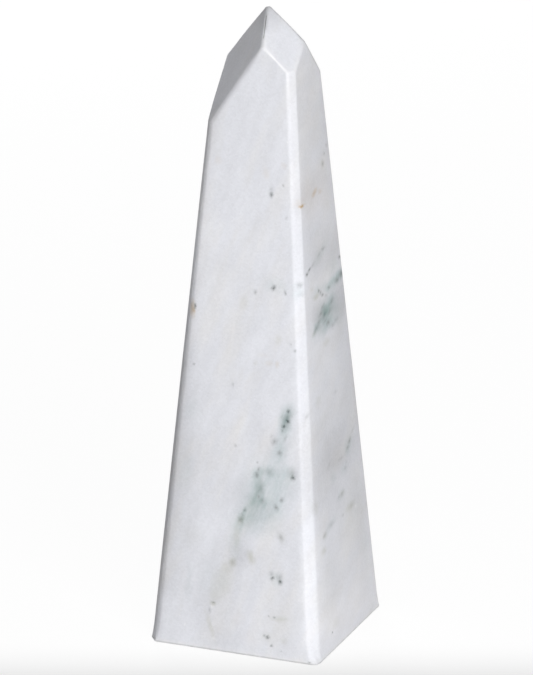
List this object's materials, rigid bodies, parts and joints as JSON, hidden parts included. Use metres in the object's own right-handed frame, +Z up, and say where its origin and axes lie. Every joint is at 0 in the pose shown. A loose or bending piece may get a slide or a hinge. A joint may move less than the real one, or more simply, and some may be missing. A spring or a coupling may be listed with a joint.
{
  "type": "marble desk obelisk",
  "caption": "Solid white marble desk obelisk: tapered square shaft with bevelled corners and an uneven hand-cut point whose facets sit over the corners. Stands on its flat base.",
  "frame": {"origin": "middle of the flat base", "axes": "+Z up along the shaft, -Y out of the front face, +X out of the right face"},
  "size_m": [0.0762, 0.0762, 0.2645],
  "materials": {
    "marble": "honed to a satin sheen, cool white with grey-green and ochre flecks"
  },
  "bodies": {
    "root": {"obelisk": "marble"}
  },
  "joints": []
}
